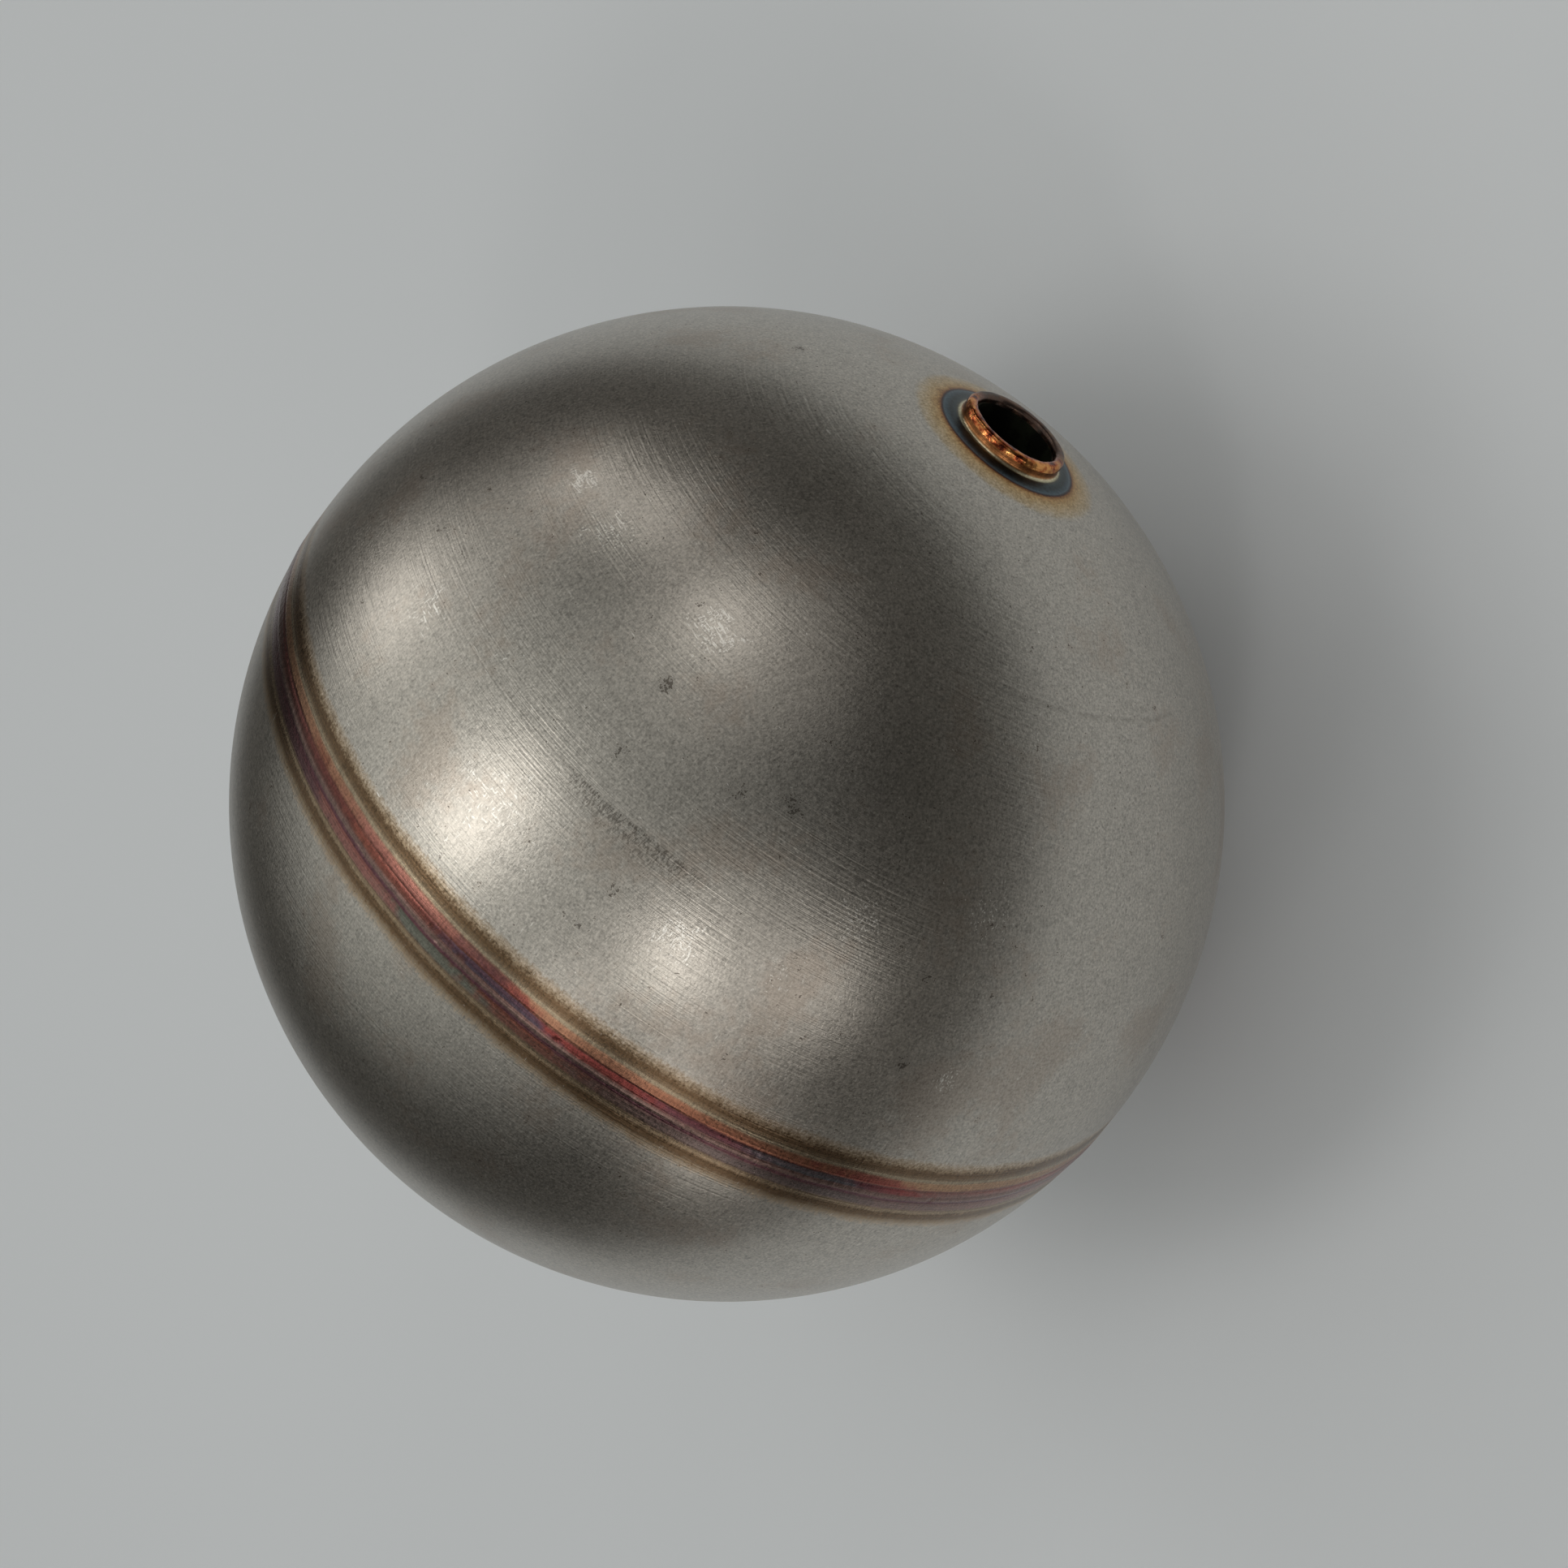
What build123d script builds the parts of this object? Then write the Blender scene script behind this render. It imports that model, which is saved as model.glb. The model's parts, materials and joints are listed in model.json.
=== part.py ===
"""Stainless float ball: two drawn half shells, their seam weld, a blind rod socket and its weld.

The origin is the centre of the ball. +X runs along the rod socket, out of its mouth, and +Z is up.
All sizes are in millimetres. Every piece is turned about the X axis from one profile, drawn with
x along the socket and y as the distance from its axis.
"""

import os
from math import atan2, degrees, sqrt

from build123d import *

# Shells
ball_diameter = 100.0
shell_wall = 0.8

# Seam weld, round the ball halfway between the poles
seam_width = 4.7
seam_crown = 0.35
seam_root_width = 3.0
seam_root_height = 0.2

# Rod socket, a blind drawn cup
socket_bore = 8.5
socket_wall = 0.5
socket_depth = 28.0
socket_end_bend = 1.2

# Neck of the socket-side shell, turned outwards round the socket
neck_wall = 0.6
neck_clearance = 0.05
neck_stand = 0.55
neck_bend = 0.5

# Socket weld, a bead over the edges of the neck and the socket
mouth_height = 1.25
mouth_relief = 0.06
bead_overhang = 0.05
bead_round = 0.45

# Dependent sizes
ball_radius = ball_diameter / 2
inner_radius = ball_radius - shell_wall
bore_radius = socket_bore / 2
socket_radius = bore_radius + socket_wall
neck_bore_radius = socket_radius + neck_clearance
neck_radius = neck_bore_radius + neck_wall
neck_edge = ball_radius + neck_stand
mouth_edge = ball_radius + mouth_height
socket_floor = mouth_edge - socket_depth


def height_at(radius, offset):
    """Second coordinate of a point on a circle about the origin, from its first one."""
    return sqrt(radius**2 - offset**2)


def arc_about_origin(radius, start, end):
    """Arc of a circle about the origin from one point's direction to another's."""
    start_angle = degrees(atan2(start[1], start[0]))
    end_angle = degrees(atan2(end[1], end[0]))
    return CenterArc((0, 0), radius, start_angle, end_angle - start_angle)


def towards(x, y, radius):
    """Point of a circle about the origin, in the direction of the point x, y."""
    scale = radius / sqrt(x**2 + y**2)
    return (x * scale, y * scale)


def turned(profile):
    """Solid made by turning a profile once round the X axis."""
    return revolve(profile, axis=Axis.X, revolution_arc=360)


def seam_edge(side):
    """Outer and inner corner of a shell's welded edge, on the side of the ball that is +1 or -1."""
    outer_x, inner_x = seam_width / 2, seam_root_width / 2
    outer = (side * outer_x, height_at(ball_radius, outer_x))
    inner = (side * inner_x, height_at(inner_radius, inner_x))
    return outer, inner


def plain_shell():
    """Half shell with no opening, closed at the pole away from the socket."""
    outer, inner = seam_edge(-1)
    outer_pole, inner_pole = (-ball_radius, 0), (-inner_radius, 0)
    with BuildSketch() as profile:
        with BuildLine():
            arc_about_origin(ball_radius, outer, outer_pole)
            Line(outer_pole, inner_pole)
            arc_about_origin(inner_radius, inner_pole, inner)
            Line(inner, outer)
        make_face()
    return turned(profile.sketch)


def socket_side_shell():
    """Half shell whose pole is pierced and turned outwards into the neck."""
    outer, inner = seam_edge(+1)

    # The sheet turns outwards in one bend, so inside the ball its radius is larger by the wall.
    outer_bend, inner_bend = neck_bend, neck_bend + neck_wall
    outer_centre_y = neck_radius + outer_bend
    outer_centre_x = height_at(ball_radius + outer_bend, outer_centre_y)
    inner_centre_y = neck_bore_radius + inner_bend
    inner_centre_x = height_at(inner_radius + inner_bend, inner_centre_y)

    outer_tangent = towards(outer_centre_x, outer_centre_y, ball_radius)
    inner_tangent = towards(inner_centre_x, inner_centre_y, inner_radius)
    with BuildSketch() as profile:
        with BuildLine():
            arc_about_origin(ball_radius, outer, outer_tangent)
            RadiusArc(outer_tangent, (outer_centre_x, neck_radius), -outer_bend)
            Line((outer_centre_x, neck_radius), (neck_edge, neck_radius))
            Line((neck_edge, neck_radius), (neck_edge, neck_bore_radius))
            Line((neck_edge, neck_bore_radius), (inner_centre_x, neck_bore_radius))
            RadiusArc((inner_centre_x, neck_bore_radius), inner_tangent, inner_bend)
            arc_about_origin(inner_radius, inner_tangent, inner)
            Line(inner, outer)
        make_face()
    return turned(profile.sketch)


def seam_weld():
    """Fused ring between the two shells, through the wall, with a crown outside and a root inside."""
    (outer_x, outer_y), (inner_x, inner_y) = seam_edge(+1)
    crown = (0, ball_radius + seam_crown)
    root = (0, inner_radius - seam_root_height)
    with BuildSketch() as profile:
        with BuildLine():
            ThreePointArc((-outer_x, outer_y), crown, (outer_x, outer_y))
            Line((outer_x, outer_y), (inner_x, inner_y))
            ThreePointArc((inner_x, inner_y), root, (-inner_x, inner_y))
            Line((-inner_x, inner_y), (-outer_x, outer_y))
        make_face()
    return turned(profile.sketch)


def rod_socket():
    """Thin drawn cup that takes the float rod and keeps the ball sealed."""
    cup_end = socket_floor - socket_wall
    outside_bend = socket_end_bend + socket_wall
    with BuildSketch() as profile:
        with BuildLine():
            Polyline((cup_end, 0), (cup_end, socket_radius - outside_bend))
            RadiusArc(
                (cup_end, socket_radius - outside_bend),
                (cup_end + outside_bend, socket_radius),
                outside_bend,
            )
            Polyline(
                (cup_end + outside_bend, socket_radius),
                (neck_edge, socket_radius),
                (neck_edge, bore_radius),
                (socket_floor + socket_end_bend, bore_radius),
            )
            RadiusArc(
                (socket_floor + socket_end_bend, bore_radius),
                (socket_floor, bore_radius - socket_end_bend),
                -socket_end_bend,
            )
            Polyline((socket_floor, bore_radius - socket_end_bend), (socket_floor, 0), (cup_end, 0))
        make_face()
    return turned(profile.sketch)


def socket_weld():
    """Rounded bead that closes the joint between the neck and the socket, round the mouth."""
    inside, outside = bore_radius + mouth_relief, neck_radius + bead_overhang
    with BuildSketch() as profile:
        with BuildLine():
            Polyline(
                (neck_edge, inside),
                (mouth_edge, inside),
                (mouth_edge, outside),
                (neck_edge, outside),
                close=True,
            )
        make_face()
        top_corners = profile.vertices().group_by(Axis.X)[-1]
        fillet(top_corners, bead_round)
    return turned(profile.sketch)


pieces = {
    "socket_side_shell": socket_side_shell(),
    "plain_shell": plain_shell(),
    "seam_weld": seam_weld(),
    "rod_socket": rod_socket(),
    "socket_weld": socket_weld(),
}

os.makedirs("parts", exist_ok=True)
for name, piece in pieces.items():
    export_step(piece, f"parts/{name}.step")
    print(name, round(piece.volume, 1))
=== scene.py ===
import json
import math

import bpy
import numpy as np
from mathutils import Matrix, Vector


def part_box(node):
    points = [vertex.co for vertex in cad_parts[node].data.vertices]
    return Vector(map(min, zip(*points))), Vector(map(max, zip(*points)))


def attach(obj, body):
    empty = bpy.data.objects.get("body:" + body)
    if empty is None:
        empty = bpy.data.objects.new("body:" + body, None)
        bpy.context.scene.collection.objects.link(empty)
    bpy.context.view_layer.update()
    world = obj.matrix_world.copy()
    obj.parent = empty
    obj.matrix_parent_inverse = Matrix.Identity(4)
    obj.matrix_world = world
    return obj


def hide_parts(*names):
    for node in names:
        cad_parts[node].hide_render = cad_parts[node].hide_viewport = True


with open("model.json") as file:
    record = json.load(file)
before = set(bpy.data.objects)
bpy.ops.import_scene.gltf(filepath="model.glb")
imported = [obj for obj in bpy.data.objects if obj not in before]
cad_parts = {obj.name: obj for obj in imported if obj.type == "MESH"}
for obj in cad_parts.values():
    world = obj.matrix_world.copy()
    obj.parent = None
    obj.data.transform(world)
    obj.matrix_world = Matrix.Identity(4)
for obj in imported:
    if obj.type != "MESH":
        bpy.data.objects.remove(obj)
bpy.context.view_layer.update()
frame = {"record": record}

print("frame loaded")

mm = 0.001

# The ball's own sizes, read from the solids, in metres
beadLow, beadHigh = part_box("socket_weld")
cupLow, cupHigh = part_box("rod_socket")
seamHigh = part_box("seam_weld")[1]
ballRadius = -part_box("plain_shell")[0].x
boreRadius = frame["record"]["mounts"][0]["dims"]["r_mm"] * mm

ball = {
    "wall": 0.8 * mm,
    "rootHalf": 1.5 * mm,      # half width of the seam's root, inside the ball
    "rootHeight": 0.2 * mm,
    "around": 720,             # faces round the socket's axis
    "outerRings": 92,
    "innerRings": 20,
}


def arcPoints(centreX, centreR, radius, start, end, count):
    # x and r of a circle's arc, with its angle running evenly from start to end
    angle = np.linspace(start, end, count)
    return np.stack([centreX + radius * np.cos(angle), centreR + radius * np.sin(angle)], 1)


def linePoints(start, end, count):
    # points spaced evenly on a straight line
    share = np.linspace(0, 1, count)[:, None]
    return np.array(start) * (1 - share) + np.array(end) * share


def joined(*runs):
    # one profile out of several runs that share their end points
    return np.concatenate([runs[0]] + [run[1:] for run in runs[1:]])


def turnedPiece(name, profile, around, lift=None, ring=True):
    # Surface of two parameters: profile point i, carried round X to the angle of column j.
    # lift(x, r, angle) pushes a point away from the axis. A ring profile closes on itself;
    # any other begins and ends on the axis, where one point closes each end.
    angle = np.arange(around) * 2 * math.pi / around
    x, r = np.broadcast_arrays(profile[:, :1], angle)[0], np.broadcast_arrays(profile[:, 1:], angle)[0]
    if lift is not None:
        r = r + lift(x, r, angle[None, :])
    points = np.stack([x, -r * np.sin(angle), r * np.cos(angle)], -1)
    rows = len(profile)
    if ring:
        points, rows = points[:-1], rows - 1
    index = np.arange(rows * around).reshape(rows, around)
    upper = np.roll(index, -1, 0) if ring else index[1:]
    lower = index if ring else index[:-1]
    quads = np.stack([lower, np.roll(lower, -1, 1), np.roll(upper, -1, 1), upper], -1).reshape(-1, 4)
    points = points.reshape(-1, 3)
    faces = quads.tolist()
    if not ring:
        for row, turn in ((0, 1), (rows - 1, -1)):
            pole = len(points)
            points = np.vstack([points, [profile[row, 0], 0, 0]])
            fan = np.stack([np.full(around, pole), np.roll(index[row], -1), index[row]], -1)[:, ::turn]
            faces += fan.tolist()
    a, b, c = (points[quads[:, k]] for k in (0, 1, 2))
    if np.einsum("ij,ij->", a, np.cross(b, c)) < 0:
        faces = [face[::-1] for face in faces]
    mesh = bpy.data.meshes.new(name)
    mesh.from_pydata(points.tolist(), [], faces)
    mesh.polygons.foreach_set("use_smooth", np.ones(len(mesh.polygons), bool))
    mesh.set_sharp_from_angle(angle=math.radians(35))
    piece = bpy.data.objects.new(name, mesh)
    bpy.context.scene.collection.objects.link(piece)
    return piece


# Shells

def sphereAngle(radius, x):
    # angle at the ball's centre of the circle's point at this x
    return math.acos(x / radius)


def plainShellProfile():
    inner = ballRadius - ball["wall"]
    outside = arcPoints(0, 0, ballRadius, math.pi, sphereAngle(ballRadius, -seamHigh.x), ball["outerRings"])
    inside = arcPoints(0, 0, inner, sphereAngle(inner, -ball["rootHalf"]), math.pi, ball["innerRings"])
    profile = joined(outside, linePoints(outside[-1], inside[0], 2), inside)
    return profile[1:-1]


neck = {
    "overhang": 0.05 * mm,     # how far the lip's bead stands out over the neck
    "wall": 0.6 * mm,
    "bend": 0.5 * mm,
    "bendRings": 9,
    "sideRings": 4,
}


def socketShellProfile():
    inner = ballRadius - ball["wall"]
    neckRadius = beadHigh.y - neck["overhang"]
    neckBore = neckRadius - neck["wall"]
    insideBend = neck["bend"] + neck["wall"]
    edge = beadLow.x

    def bendRun(sphere, bend, wallRadius, count):
        # arc that touches the sphere from outside and the neck's wall
        centreR = wallRadius + bend
        centreX = math.sqrt((sphere + bend) ** 2 - centreR ** 2)
        touch = math.atan2(-centreR, -centreX)
        return arcPoints(centreX, centreR, bend, touch, -math.pi / 2, count), math.atan2(centreR, centreX)

    outsideBend, outsideEnd = bendRun(ballRadius, neck["bend"], neckRadius, neck["bendRings"])
    innerBend, insideEnd = bendRun(inner, insideBend, neckBore, neck["bendRings"])
    seamAngle = sphereAngle(ballRadius, seamHigh.x)
    # rings crowd towards the neck, where the curve is tight
    share = np.linspace(0, 1, ball["outerRings"])
    angle = outsideEnd + (seamAngle - outsideEnd) * share[::-1] ** 1.25
    outside = np.stack([ballRadius * np.cos(angle), ballRadius * np.sin(angle)], 1)
    inside = arcPoints(0, 0, inner, insideEnd, sphereAngle(inner, ball["rootHalf"]), ball["innerRings"])
    return joined(
        outside,
        outsideBend,
        linePoints(outsideBend[-1], (edge, neckRadius), neck["sideRings"]),
        linePoints((edge, neckRadius), (edge, neckBore), 3),
        linePoints((edge, neckBore), innerBend[-1], neck["sideRings"]),
        innerBend[::-1],
        inside,
        linePoints(inside[-1], outside[0], 2),
    )


# Seam weld

seam = {
    "around": 1440,
    "outerRings": 56,
    "rootRings": 7,
    "crown": 0.07 * mm,        # even part of the bead's height
    "ridge": 0.025 * mm,       # fine ridge along the bead
    "ridgeAt": -0.35 * mm,
    "ridgeWidth": 0.22 * mm,
    "groove": 0.035 * mm,      # line where two passes meet
    "grooveAt": 0.79 * mm,
    "grooveWidth": 0.11 * mm,
    "ripple": 0.006 * mm,
    "rippleLength": 1.1 * mm,
    "wander": 0.07 * mm,       # how far ridge and groove stray sideways
    "pitDepth": 0.07 * mm,
    "pitLength": 0.30 * mm,    # half length round the ball
    "pitWidth": 0.30 * mm,
    "pits": ((-5, 1.3), (5, -0.4), (18, -0.4), (34, 0.2), (80.5, -0.35), (131, 0.7), (170, -0.3),
             (205, -0.2), (248, 0.9), (297, -0.5)),   # degrees round the ball, mm along the socket's axis
}


def seamLift(x, r, angle):
    # Height of the bead: a crown that is nought at both toes, a ridge and a groove that stray
    # with the angle, faint ripples, and a few pits.
    outer = r > ballRadius - ball["wall"] / 2
    share = np.clip(np.abs(x) / seamHigh.x, 0, 1)
    crown = seam["crown"] * (1 - share ** 2) ** 1.5
    stray = seam["wander"] * (np.sin(3 * angle + 0.6) + 0.6 * np.sin(7 * angle) + 0.5 * np.sin(17 * angle + 2))
    ridge = seam["ridge"] * np.exp(-((x - seam["ridgeAt"] - stray) / seam["ridgeWidth"]) ** 2)
    groove = seam["groove"] * np.exp(-((x - seam["grooveAt"] - 0.4 * stray) / seam["grooveWidth"]) ** 2)
    path = angle * ballRadius + 1.5 * x * share
    beat = 1 + 0.35 * np.sin(5 * angle) * np.sin(23 * angle + 1)
    ripple = seam["ripple"] * beat * np.sin(2 * math.pi * path / seam["rippleLength"]) * (1 - share)
    pits = 0
    for degree, place in seam["pits"]:
        turn = (angle - math.radians(degree) + math.pi) % (2 * math.pi) - math.pi
        pits = pits + np.exp(-(turn * ballRadius / seam["pitLength"]) ** 4
                             - ((x - place * mm) / seam["pitWidth"]) ** 2)
    toe = np.clip((1 - share) / 0.12, 0, 1)
    height = crown + toe * (ridge - groove + ripple - seam["pitDepth"] * np.clip(pits, 0, 1))
    return np.where(outer, np.maximum(height, 0), 0)


def seamProfile():
    inner = ballRadius - ball["wall"]
    half, rootHalf = seamHigh.x, ball["rootHalf"]
    x = half * np.sin(np.linspace(-1, 1, seam["outerRings"]) * math.pi / 2)
    outside = np.stack([x, np.sqrt(ballRadius ** 2 - x ** 2)], 1)
    x = np.linspace(rootHalf, -rootHalf, seam["rootRings"])
    sink = ball["rootHeight"] * (1 - (x / rootHalf) ** 2)
    inside = np.stack([x, np.sqrt(inner ** 2 - x ** 2) - sink], 1)
    return joined(outside, linePoints(outside[-1], inside[0], 3), inside, linePoints(inside[-1], outside[0], 3))


# Rod socket and the bead round its mouth

cup = {
    "endBend": 1.2 * mm,
    "around": 240,
    "bendRings": 8,
    "sideRings": 12,
    "floorRings": 4,
}


def cupProfile():
    wall = cupHigh.y - boreRadius
    floor, edge = cupLow.x + wall, cupHigh.x
    bend, outerBend = cup["endBend"], cup["endBend"] + wall
    outerTurn = arcPoints(cupLow.x + outerBend, cupHigh.y - outerBend, outerBend, math.pi, math.pi / 2, cup["bendRings"])
    innerTurn = arcPoints(floor + bend, boreRadius - bend, bend, math.pi / 2, math.pi, cup["bendRings"])
    profile = joined(
        linePoints((cupLow.x, 0), outerTurn[0], cup["floorRings"]),
        outerTurn,
        linePoints(outerTurn[-1], (edge, cupHigh.y), cup["sideRings"]),
        linePoints((edge, cupHigh.y), (edge, boreRadius), 2),
        linePoints((edge, boreRadius), innerTurn[0], cup["sideRings"]),
        innerTurn,
        linePoints(innerTurn[-1], (floor, 0), cup["floorRings"]),
    )
    return profile[1:-1]


lip = {
    "relief": 0.06 * mm,       # how far the bead stands back from the bore
    "round": 0.45 * mm,
    "around": 480,
    "roundRings": 14,
    "lumps": 0.035 * mm,
}


def lipProfile():
    inside, outside = boreRadius + lip["relief"], beadHigh.y
    low, top, turn = beadLow.x, beadHigh.x, lip["round"]
    outerTurn = arcPoints(top - turn, outside - turn, turn, math.pi / 2, 0, lip["roundRings"])
    innerTurn = arcPoints(top - turn, inside + turn, turn, 0, -math.pi / 2, lip["roundRings"])
    return joined(
        linePoints((low, outside), outerTurn[0], 4),
        outerTurn,
        linePoints(outerTurn[-1], innerTurn[0], 4),
        innerTurn,
        linePoints(innerTurn[-1], (low, inside), 4),
        linePoints((low, inside), (low, outside), 6),
    )


def lipLift(x, r, angle):
    # the bead's outside swells and shrinks a little round the mouth, and its inside edge is uneven
    middle = (boreRadius + lip["relief"] + beadHigh.y) / 2
    rise = np.clip((x - beadLow.x) / (beadHigh.x - beadLow.x) * 2.5, 0, 1)
    outside = -(1 + 0.6 * np.sin(4 * angle + 1) + 0.4 * np.sin(9 * angle) + 0.5 * np.sin(21 * angle + 2))
    inside = 1 + 0.8 * np.sin(6 * angle) + 0.6 * np.sin(13 * angle + 1)
    blend = np.clip((r - middle) / (0.2 * mm), -1, 1)
    return lip["lumps"] * rise * np.where(blend > 0, blend * np.minimum(outside, 0), -blend * np.maximum(inside, 0))


pieces = {
    "socketSideShell": (turnedPiece("socketSideShell", socketShellProfile(), ball["around"]), "socket_side_shell", "shell_steel"),
    "plainShell": (turnedPiece("plainShell", plainShellProfile(), ball["around"], ring=False), "plain_shell", "shell_steel"),
    "seamWeld": (turnedPiece("seamWeld", seamProfile(), seam["around"], seamLift), "seam_weld", "tinted_weld"),
    "rodSocket": (turnedPiece("rodSocket", cupProfile(), cup["around"], ring=False), "rod_socket", "socket_steel"),
    "socketWeld": (turnedPiece("socketWeld", lipProfile(), lip["around"], lipLift), "socket_weld", "copper_tinted_weld"),
}
for piece, node, slotName in pieces.values():
    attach(piece, "root")
    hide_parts(node)
print("pieces made")


# Finishes

class Wire:
    # a shader socket that can stand in a sum

    def __init__(self, finish, socket):
        self.finish, self.socket = finish, socket

    def maths(self, operation, *values):
        return self.finish.node("ShaderNodeMath", {"operation": operation}, dict(enumerate(values)))

    def __add__(self, other):
        return self.maths("ADD", self, other)

    def __mul__(self, other):
        return self.maths("MULTIPLY", self, other)

    def __sub__(self, other):
        return self.maths("SUBTRACT", self, other)

    def __rsub__(self, other):
        return self.maths("SUBTRACT", other, self)

    def __truediv__(self, other):
        return self.maths("DIVIDE", self, other)

    def __pow__(self, other):
        return self.maths("POWER", self, other)

    __radd__, __rmul__ = __add__, __mul__


class Nodes:
    # a node tree and the one method that adds nodes to it

    def __init__(self, owner):
        owner.use_nodes = True
        self.tree = owner.node_tree

    def node(self, kind, settings=None, values=None, output=0):
        made = self.tree.nodes.new(kind)
        for key, value in (settings or {}).items():
            if key == "stops":
                fillRamp(made.color_ramp, value)
            else:
                setattr(made, key, value)
        for key, value in (values or {}).items():
            if isinstance(value, Wire):
                self.tree.links.new(value.socket, made.inputs[key])
            else:
                made.inputs[key].default_value = value
        return Wire(self, made.outputs[output])


class Finish(Nodes):
    # a material with its shader

    def __init__(self, name, roughness, metallic=1.0):
        self.material = bpy.data.materials.new(name)
        super().__init__(self.material)
        self.shader = self.tree.nodes["Principled BSDF"]
        self.shader.inputs["Metallic"].default_value = metallic
        self.shader.inputs["Roughness"].default_value = roughness

    def feed(self, key, wire):
        self.tree.links.new(wire.socket, self.shader.inputs[key])


def fillRamp(ramp, stops):
    # stops are (place, colour) pairs, with places from 0 to 1
    while len(ramp.elements) < len(stops):
        ramp.elements.new(1.0)
    for element, (place, colour) in zip(ramp.elements, stops):
        element.position = place
    for element, (place, colour) in zip(ramp.elements, stops):
        element.color = colour


def paint(red, green, blue):
    # linear colour of a colour given as 0 to 255 on screen
    def linear(value):
        value /= 255
        return value / 12.92 if value <= 0.04045 else ((value + 0.055) / 1.055) ** 2.4
    return (linear(red), linear(green), linear(blue), 1.0)


def ramp(value, stops, low=0.0, high=1.0):
    # colour by a value that runs from low to high
    spread = high - low
    places = [((place - low) / spread, colour) for place, colour in stops]
    return value.finish.node("ShaderNodeValToRGB", {"stops": places}, {0: (value - low) / spread})


def smooth(value, start, end):
    # 0 before start and 1 after end, with a soft step between
    return value.finish.node("ShaderNodeMapRange", {"interpolation_type": "SMOOTHSTEP"}, {0: value, 1: start, 2: end})


def mixed(mask, below, above, blend="MIX"):
    finish = mask.finish
    return finish.node("ShaderNodeMix", {"data_type": "RGBA", "blend_type": blend, "clamp_factor": True},
                       {0: mask, 6: below, 7: above}, 2)


def noise(place, scale, detail=2.0, roughness=0.5, stretch=(1, 1, 1), turn=(0, 0, 0), shift=(0, 0, 0)):
    # noise between 0 and 1; scale is per millimetre, and stretch multiplies it along each axis
    finish = place.finish
    moved = finish.node("ShaderNodeMapping", {}, {0: place, 1: shift, 2: turn, 3: [scale * part for part in stretch]})
    return finish.node("ShaderNodeTexNoise", {}, {0: moved, 2: 1.0, 3: detail, 4: roughness}, 0)


def places(finish):
    # the point in millimetres, with its parts and its distance from the socket's axis
    inMetres = finish.node("ShaderNodeTexCoord", {}, {}, 3)
    point = finish.node("ShaderNodeVectorMath", {"operation": "SCALE"}, {0: inMetres, 3: 1 / mm})
    split = finish.node("ShaderNodeSeparateXYZ", {}, {0: point})
    outputs = split.socket.node.outputs
    x, y, z = (Wire(finish, outputs[k]) for k in range(3))
    reach = (y * y + z * z) ** 0.5
    return point, x, y, z, reach


# Heat tint on bright steel, as it looks on a surface lit like bare steel of the first colour
tint = {
    "steel": paint(187, 181, 172),
    "straw": paint(186, 170, 151),
    "tan": paint(156, 136, 112),
    "brown": paint(114, 92, 70),
    "olive": paint(132, 113, 92),
    "sage": paint(158, 142, 120),
    "gold": paint(166, 136, 106),
    "apricot": paint(162, 122, 98),
    "copper": paint(156, 106, 84),
    "brick": paint(134, 84, 70),
    "rose": paint(162, 108, 100),
    "crimson": paint(138, 70, 66),
    "maroon": paint(104, 68, 62),
    "plum": paint(104, 70, 78),
    "indigo": paint(78, 76, 90),
    "slate": paint(100, 108, 114),
    "teal": paint(112, 124, 112),
    "mauve": paint(130, 106, 99),
    "pewter": paint(112, 104, 102),
}

# Across the seam: degrees north (towards the socket) of its middle. The paler sage at 2.3 to 2.55 and the tan at -2.85
# are partly tint and partly a painted highlight of the bead's toes.
seamTint = (
    (-5.6, "steel"), (-5.0, "straw"), (-4.4, "tan"), (-3.9, "brown"), (-3.25, "brown"), (-2.85, "tan"),
    (-2.55, "olive"), (-2.2, "mauve"), (-1.7, "mauve"), (-1.35, "maroon"), (-0.9, "plum"), (-0.6, "mauve"),
    (-0.35, "mauve"), (0.2, "maroon"), (0.6, "crimson"), (0.9, "maroon"), (1.1, "brick"),
    (1.6, "copper"), (2.0, "apricot"), (2.3, "sage"), (2.55, "sage"), (2.75, "olive"), (3.3, "brown"),
    (3.8, "brown"), (4.3, "tan"), (4.9, "straw"), (5.5, "steel"),
)

# Along three of its bands: degrees round the ball from the top
northTint = (
    (-180, "copper"), (-150, "gold"), (-125, "rose"), (-90, "apricot"), (-62, "gold"), (-27, "gold"),
    (-6, "apricot"), (-3, "brick"), (-1, "apricot"), (8, "rose"), (21, "rose"), (24, "plum"), (31, "crimson"),
    (34, "apricot"), (50, "copper"), (66, "copper"), (69, "crimson"), (77, "crimson"), (81, "gold"),
    (100, "gold"), (125, "copper"), (150, "rose"), (180, "copper"),
)
middleTint = (
    (-180, "maroon"), (-150, "slate"), (-120, "crimson"), (-90, "plum"), (-60, "maroon"), (2, "maroon"),
    (5, "brick"), (18, "maroon"), (21, "indigo"), (32, "indigo"), (35, "crimson"), (43, "crimson"),
    (46, "plum"), (57, "plum"), (60, "slate"), (67, "slate"), (70, "plum"), (78, "crimson"), (81, "mauve"),
    (100, "rose"), (140, "plum"), (180, "maroon"),
)
southTint = (
    (-180, "mauve"), (-140, "brick"), (-105, "plum"), (-60, "mauve"), (-27, "plum"), (-6, "plum"),
    (-3, "rose"), (8, "rose"), (11, "teal"), (19, "teal"), (22, "brick"), (32, "brick"), (35, "mauve"),
    (50, "pewter"), (64, "pewter"), (78, "mauve"), (110, "rose"), (150, "slate"), (180, "mauve"),
)

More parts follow.
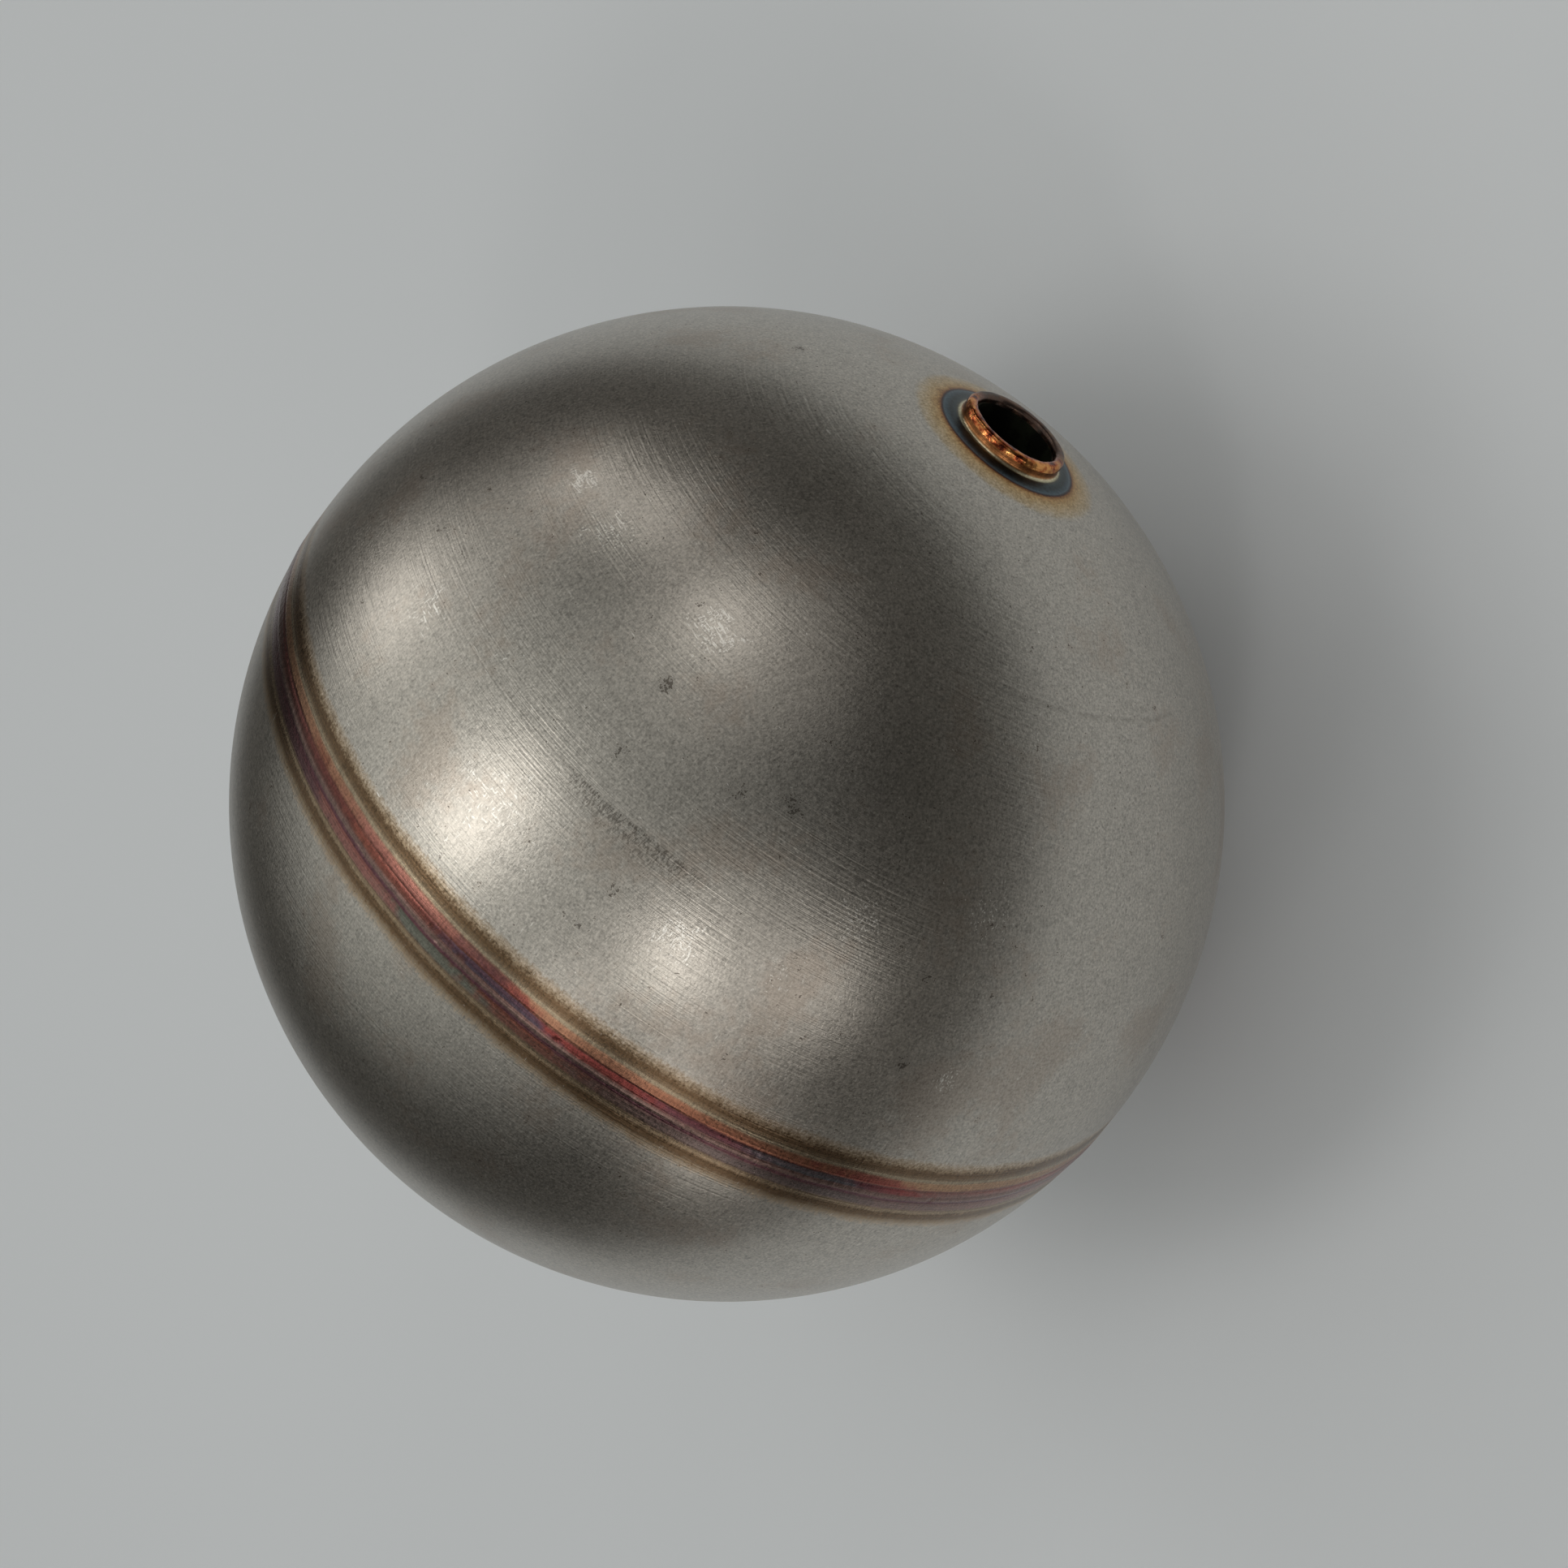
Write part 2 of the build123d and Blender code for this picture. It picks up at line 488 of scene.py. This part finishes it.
# Colour round the neck, by the distance in millimetres from the socket's axis
neckTint = (
    (4.20, paint(120, 78, 52)),     # inside the neck, out of sight
    (5.30, paint(128, 84, 54)),
    (5.41, paint(170, 112, 70)),    # neck's wall
    (5.46, paint(178, 130, 86)),
    (5.54, paint(228, 216, 182)),   # cream foot
    (5.66, paint(186, 178, 148)),
    (5.80, paint(84, 84, 76)),
    (6.05, paint(58, 68, 70)),      # blue oxide
    (6.50, paint(50, 58, 60)),
    (6.90, paint(66, 80, 88)),
    (7.15, paint(84, 98, 106)),
    (7.30, paint(62, 56, 58)),
    (7.40, paint(74, 44, 38)),      # sharp purple-brown edge
    (7.52, paint(138, 94, 54)),
    (7.80, paint(178, 142, 94)),
    (8.50, paint(188, 162, 122)),   # straw halo
    (9.50, paint(189, 172, 146)),
    (10.40, paint(187, 181, 172)),
)

steel = {
    "roughness": 0.325,
    "waveBump": 0.05,               # heights in mm
    "grainBump": 0.009,
    "scratchBump": 0.005,
    "turnedBump": 0.018,            # fine lines round the axis, from spinning
    "bright": paint(250, 246, 238),
    "dark": paint(70, 62, 54),
    "stain": paint(150, 128, 110),
}

# Marks of handling, each a place on the ball and a size in mm, and how dense its strokes are
scuffs = (
    ((32.7, 9.1, 36.7), 2.2, 0.9), ((32.5, 2.5, 38.0), 3.6, 0.62), ((33.6, -11.0, 35.3), 3.6, 0.80),
    ((17.4, 7.6, 46.3), 3.4, 0.55), ((14.6, -28.9, 38.1), 3.4, 0.70), ((23.4, -35.1, 26.9), 3.4, 0.60),
    ((27.3, -38.8, 15.7), 4.0, 0.45), ((12.4, -11.2, 47.1), 5.5, 0.50), ((22.3, -2.3, 44.7), 3.0, 0.35),
    ((13.1, -45.8, 15.1), 2.2, 0.60), ((16.6, -35.1, 31.5), 2.6, 0.40), ((-20.0, 18.0, -42.1), 4.0, 0.60),
    ((-38.0, -28.0, 16.4), 3.5, 0.60), ((24.0, 37.0, -23.5), 3.5, 0.60),
)
stains = (
    ((28.9, -12.8, 38.8), 1.5, 1.0), ((23.2, -15.2, 41.6), 1.7, 0.7), ((26.6, -22.9, 35.6), 1.9, 0.8),
    ((27.9, -26.1, 32.3), 2.4, 0.7), ((21.2, 14.2, 43.0), 1.6, 0.7), ((22.5, 9.7, 43.6), 1.8, 0.6),
    ((20.3, 22.4, 39.9), 1.2, 0.8), ((31.3, -7.4, 38.3), 1.4, 0.7), ((14.6, -23.3, 41.8), 1.6, 0.6),
    ((13.9, -43.7, 20.0), 1.7, 0.9), ((21.5, -40.2, 20.6), 1.8, 0.7), ((10.4, -23.5, 42.9), 1.6, 0.6),
    ((45.4, 15.5, 14.0), 1.6, 0.7), ((-30.0, 33.0, 22.5), 2.0, 0.7), ((-36.0, -5.0, -34.3), 2.0, 0.7),
)

# Faint rings left by forming, and in the third row a thin dark line painted along the edge of the table's reflection:
# the plane's direction and distance, the middle of the visible part and its reach
ringsAndReflectionLine = (
    ((0.995, -0.025, 0.098), 24.07, (22.0, -8.0, 44.0), 26.0, 0.30),
    ((0.994, 0.107, -0.010), 38.09, (40.0, -29.0, 5.0), 18.0, 0.40),
    ((0.740, -0.155, 0.655), 17.02, (-18.0, -14.0, 44.5), 24.0, 0.25),
)

# Short strokes beside the first of them, on its side away from the socket: their middle and reach in mm
hatched = ((19.7, -20.7, 41.0), 11.0)


def tinted(value, rows, low, high):
    # one of the tint's colours by a value that runs from low to high
    return ramp(value, [(place, tint[colour]) for place, colour in rows], low, high)


def seamColour(x, y, z, slow, patch, grain):
    # Heat tint beside and on the weld, by the angle north of it and, in three bands, round the ball
    angle = (0 - y).maths("ARCTAN2", 0 - y, z) * (180 / math.pi)
    north = x * (180 / math.pi * mm / ballRadius)
    outer = smooth(north.maths("ABSOLUTE", north), 2.6, 4.2)
    north = north + slow * 0.45 + patch * (0.22 + outer * 0.4) + grain * (0.05 + outer * 1.3)
    colour = tinted(north, seamTint, -6, 6)
    angle = angle + (slow + patch) * 8 + north * 1.5
    bands = (
        (northTint, smooth(north, 0.95, 1.2) * (1 - smooth(north, 1.9, 2.4)), 0.72),
        (middleTint, smooth(north, -0.15, 0.15) * (1 - smooth(north, 0.75, 0.95)), 0.72),
        (southTint, smooth(north, -1.0, -1.3) * (1 - smooth(north, -2.1, -2.6)), 0.65),
    )
    for rows, band, strength in bands:
        colour = mixed(band * strength, colour, tinted(angle, rows, -180, 180))
    return colour, 1 - smooth(north.maths("ABSOLUTE", north), 3.0, 5.0)


def neckColour(x, reach, slow, patch, grain):
    far = smooth(reach, 5.8, 7.2)
    away = smooth(reach, 7.5, 8.4)
    reached = reach + far * (slow * 0.3 + grain * 0.14) + away * (grain * 0.9 + patch * 1.2)
    return ramp(reached, neckTint, 4, 11), (1 - smooth(reach, 9.6, 10.4)) * smooth(x, 20, 30)


def distance(point, place):
    return point.finish.node("ShaderNodeVectorMath", {"operation": "DISTANCE"}, {0: point, 1: place}, 1)


def marked(point, marks, ragged):
    # how strongly a point lies in any of some round marks with ragged edges
    total = 0
    for place, size, strength in marks:
        total = smooth(distance(point, place) + ragged * (1.6 * size), size, size * 0.2) * strength + total
    return total


def shellFinish(name):
    # satin stainless sheet with the heat's colours beside the weld and round the neck, marks of handling and forming,
    # and one thin dark line painted along a reflection's edge
    finish = Finish(name, steel["roughness"])
    point, x, y, z, reach = places(finish)
    slow = noise(point, 0.12, 0.0) - 0.5
    patch = noise(point, 0.8, 1.0, 0.6) - 0.5
    grain = noise(point, 3.6, 1.0, 0.8) - 0.5
    streaks = noise(point, 1.0, 1.0, 0.6, stretch=(6.0, 0.05, 0.05)) - 0.5
    along = noise(point, 1.0, 1.0, 0.6, stretch=(0.55, 6.0, 6.0), turn=(0.2, 0.1, 0.2))
    across = noise(point, 1.0, 1.0, 0.6, stretch=(5.0, 0.5, 5.0), turn=(0.5, 0.4, 0.7), shift=(9, 4, 2))

    seamTone, film = seamColour(x, y, z, slow, patch, grain)
    neckTone, nearNeck = neckColour(x, reach, slow, patch, grain)
    colour = mixed(nearNeck, seamTone, neckTone)
    bare = (1 - film) * (1 - nearNeck)

    scuffed = marked(point, scuffs, patch)
    stained = marked(point, stains, patch)
    strokes = smooth(across + scuffed * 0.27 + patch * 0.30, 0.74, 0.85)
    strokes = strokes + smooth(along + scuffed * 0.22 - patch * 0.30, 0.74, 0.85)
    flecks = smooth(patch * 0.9 + grain * 0.8 + stained * 0.34, 0.25, 0.36)
    nicksAndReflectionLine = smooth(along - patch * 0.10, 0.68, 0.80) * 0.4
    hatch = 1 - smooth(distance(point, hatched[0]) + patch * 8, hatched[1] * 0.5, hatched[1])
    # the third row's line is a painted reflection edge, darkened with the nicks
    for direction, offset, middle, extent, strength in ringsAndReflectionLine:
        level = finish.node("ShaderNodeVectorMath", {"operation": "DOT_PRODUCT"}, {0: point, 1: direction}, 1) - offset
        line = (1 - smooth(level.maths("ABSOLUTE", level + patch * 0.6), 0.04, 0.30)) * smooth(patch, -0.12, 0.10)
        near = distance(point, middle)
        nicksAndReflectionLine = nicksAndReflectionLine + line * (1 - smooth(near, extent * 0.7, extent)) * strength
        if hatch is not None:
            hatch = hatch * smooth(level, 0.3, 0.0) * smooth(level, -3.6, -0.4)
            nicksAndReflectionLine = nicksAndReflectionLine + smooth(along, 0.62 - hatch * 0.16, 0.74 - hatch * 0.16) * hatch
            hatch = None

    shade = 1.0 + slow * 0.14 + grain * 1.1 + patch * 0.30 + (along - 0.5) * 0.5 + film * streaks * 0.6
    grey = finish.node("ShaderNodeCombineColor", {}, {0: shade, 1: shade, 2: shade})
    colour = finish.node("ShaderNodeMix", {"data_type": "RGBA", "blend_type": "MULTIPLY"}, {0: 1.0, 6: colour, 7: grey}, 2)
    colour = mixed(bare * smooth(slow + patch * 0.5, 0.05, 0.30) * 0.30, colour, steel["stain"])
    colour = mixed(bare * strokes * 0.8, colour, steel["bright"])
    colour = mixed(bare * (nicksAndReflectionLine * 0.55 + flecks * 0.75), colour, steel["dark"])
    finish.feed("Base Color", colour)
    finish.feed("Roughness", steel["roughness"] + slow * 0.06 + grain * 0.10 + strokes * 0.05 - film * 0.05)
    height = slow * steel["waveBump"] + grain * steel["grainBump"] + (along + across) * steel["scratchBump"]
    height = height + streaks * steel["turnedBump"]
    finish.feed("Normal", finish.node("ShaderNodeBump", {}, {0: 1.0, 1: mm, 3: height}, 0))
    return finish.material


copper = {
    "roughness": 0.15,
    "gold": paint(232, 166, 100),
    "middle": paint(172, 88, 52),
    "dark": paint(72, 32, 24),
    "line": paint(168, 118, 104),   # pinkish line at the mouth
    "farSideShade": paint(84, 78, 72),     # painted shade: grey on the side of the mouth that faces away from the view
    "farSideShadeDirection": (0.53, -0.85),     # y and z of the direction to it
}


def copperFinish():
    # glossy weld metal under a copper-coloured film, mottled dark red-brown, with painted grey shade on the mouth's
    # far side
    finish = Finish("copperTintedWeld", copper["roughness"])
    point, x, y, z, reach = places(finish)
    mottle = noise(point, 0.9, 3.0, 0.65)
    fine = noise(point, 2.4, 2.0)
    outside = smooth(reach, 4.9, 5.3)
    tone = ramp(mottle + outside * 0.04, ((0.40, copper["dark"]), (0.50, copper["middle"]), (0.66, copper["gold"])))
    rim = (1 - smooth(reach, 4.50, 4.85)) * smooth(x, 50.7, 51.0)
    tone = mixed(rim * (0.5 + fine * 0.5), tone, copper["line"])
    # painted shade: the mouth's far side, away from the view, is mixed towards grey
    farSideShade = smooth((y * copper["farSideShadeDirection"][0] + z * copper["farSideShadeDirection"][1]) / reach + (mottle - 0.5), -0.25, 0.35)
    tone = mixed(farSideShade * 0.85, tone, copper["farSideShade"])
    finish.feed("Base Color", tone)
    finish.feed("Roughness", copper["roughness"] - 0.03 + mottle * 0.12 + farSideShade * 0.15)
    bump = finish.node("ShaderNodeBump", {}, {0: 1.0, 1: mm, 3: fine * 0.04}, 0)
    finish.feed("Normal", bump)
    return finish.material


def boreFinish():
    # drawn cup, blackened inside by the weld's heat
    finish = Finish("socketSteel", 0.5, 0.85)
    point, x, y, z, reach = places(finish)
    blotch = smooth(noise(point, 0.45, 3.0, 0.6), 0.42, 0.66)
    tone = mixed(blotch, paint(36, 35, 30), paint(56, 60, 46))
    outer = smooth(reach, 4.45, 4.6)
    tone = mixed(outer, tone, paint(150, 144, 136))
    finish.feed("Base Color", tone)
    finish.feed("Roughness", 0.44 + noise(point, 1.2, 2.0) * 0.2)
    return finish.material


finishes = {
    "socketSideShell": shellFinish("shellSteel"),
    "rodSocket": boreFinish(),
    "socketWeld": copperFinish(),
}
finishes["plainShell"] = finishes["socketSideShell"]
finishes["seamWeld"] = finishes["socketSideShell"]
for name, (piece, node, slotName) in pieces.items():
    piece.data.materials.append(finishes[name])
print("finishes made")


# Stage: a pale floor that curves up all round into a backdrop

stage = {
    "flat": 0.9,
    "curve": 0.6,
    "around": 96,
    "pale": paint(229, 232, 235),
    "grey": paint(88, 86, 83),       # beyond the table
    "tableMiddle": (-0.062, 0.058),
    "tableEdge": (0.22, 0.31),       # distances from that middle between which pale turns to grey
}


def floorPiece():
    # Turned about the upright through the ball: flat out to the curve, which is a quarter circle
    centre = stage["flat"], stage["curve"]
    reach = np.concatenate([[0.02, 0.3, 0.6], centre[0] + stage["curve"] * np.sin(np.linspace(0, math.pi / 2, 24))])
    height = np.concatenate([[0, 0, 0], stage["curve"] * (1 - np.cos(np.linspace(0, math.pi / 2, 24)))])
    angle = np.arange(stage["around"]) * 2 * math.pi / stage["around"]
    points = np.stack([reach[:, None] * np.cos(angle), reach[:, None] * np.sin(angle),
                       np.broadcast_to(height[:, None], (len(reach), len(angle))) - ballRadius], -1)
    index = np.arange(len(reach) * len(angle)).reshape(len(reach), -1)
    quads = np.stack([index[:-1], np.roll(index[:-1], -1, 1), np.roll(index[1:], -1, 1), index[1:]], -1)
    mesh = bpy.data.meshes.new("floor")
    mesh.from_pydata(points.reshape(-1, 3).tolist(), [], quads.reshape(-1, 4).tolist() + [index[0][::-1].tolist()])
    mesh.polygons.foreach_set("use_smooth", np.ones(len(mesh.polygons), bool))
    floor = bpy.data.objects.new("floor", mesh)
    bpy.context.scene.collection.objects.link(floor)
    paper = Finish("paper", 0.85, 0.0)
    point, x, y, z, reach = places(paper)
    across, along = (x * mm - stage["tableMiddle"][0], y * mm - stage["tableMiddle"][1])
    far = smooth((across * across + along * along) ** 0.5, *stage["tableEdge"])
    paper.feed("Base Color", mixed(far, stage["pale"], stage["grey"]))
    floor.data.materials.append(paper.material)
    return floor


floorPiece()

# Lamps: direction from the ball in degrees (round from +X, and up), size in metres, and power in watts
lampDistance = 1.2
lamps = (
    ("overhead", 104, 84, 0.28, 0.66),
    ("overheadFar", 155, 73, 0.28, 0.70),
    ("nearSide", -95, 46, 0.16, 0.53),
    ("nearSideLow", -84, 19, 0.30, 0.32),
    ("front", 7, 35, 0.30, 0.33),
    ("frontSide", 40, 26, 0.30, 0.30),
    ("farSide", 98, 34, 0.36, 0.44),
    ("farSideLow", 59, 22, 0.30, 0.33),
    ("back", -135, 50, 0.30, 0.37),
    ("backLow", -122, 26, 0.30, 0.33),
    ("backFloor", -129, 8, 0.30, 0.34),
    ("softNear", -90, 35, 1.0, 1.08),
    ("softFront", 0, 35, 1.0, 0.64),
    ("softFar", 90, 35, 1.0, 0.51),
)


def lampAt(name, azimuth, elevation, size, power):
    # a round area lamp that faces the ball
    a, e = math.radians(azimuth), math.radians(elevation)
    away = Vector((math.cos(a) * math.cos(e), math.sin(a) * math.cos(e), math.sin(e)))
    light = bpy.data.lights.new(name, "AREA")
    light.shape = "DISK"
    light.size = size
    light.energy = power
    light.color = (1.0, 0.975, 0.94)
    lamp = bpy.data.objects.new(name, light)
    lamp.location = away * lampDistance
    lamp.rotation_mode = "QUATERNION"
    lamp.rotation_quaternion = away.to_track_quat("Z", "Y")
    bpy.context.scene.collection.objects.link(lamp)


for row in lamps:
    lampAt(*row)

room = {
    "floorLevel": 0.03,
    "overhead": 0.36,
    "farSide": 0.43,
    "farDirection": (-0.494, 0.464, 0.736),
    "colour": (0.97, 1.0, 0.97, 1.0),
}


def roomLight():
    # soft light that is brightest overhead and on the far side, and falls off with a cosine's cube
    world = bpy.data.worlds.new("room")
    light = Nodes(world)
    background = light.tree.nodes["Background"]
    background.inputs[0].default_value = room["colour"]
    way = light.node("ShaderNodeTexCoord", {}, {}, 0)
    level = room["floorLevel"]
    for direction, strength in (((0, 0, 1), room["overhead"]), (room["farDirection"], room["farSide"])):
        facing = light.node("ShaderNodeVectorMath", {"operation": "DOT_PRODUCT"}, {0: way, 1: direction}, 1)
        level = facing.maths("MAXIMUM", facing, 0) ** 3 * strength + level
    light.tree.links.new(level.socket, background.inputs[1])
    bpy.context.scene.world = world


roomLight()

# Camera: its three axes as the columns, worked out from the ball's outline, the seam and the mouth
view = Matrix(((0.53627, 0.68445, 0.4939), (-0.50346, 0.72906, -0.46368), (-0.67745, 0.0, 0.73557)))
camera = bpy.data.objects.new("camera", bpy.data.cameras.new("camera"))
camera.data.lens = 64.698
camera.data.sensor_width = 36.0
camera.data.clip_start = 0.01
camera.matrix_world = Matrix.Translation(Vector((2.927, -2.6937, 4.152)) * ballRadius) @ view.to_4x4()
bpy.context.scene.collection.objects.link(camera)
bpy.context.scene.camera = camera
bpy.context.scene.view_settings.view_transform = "Standard"
print("stage, lamps and camera made")
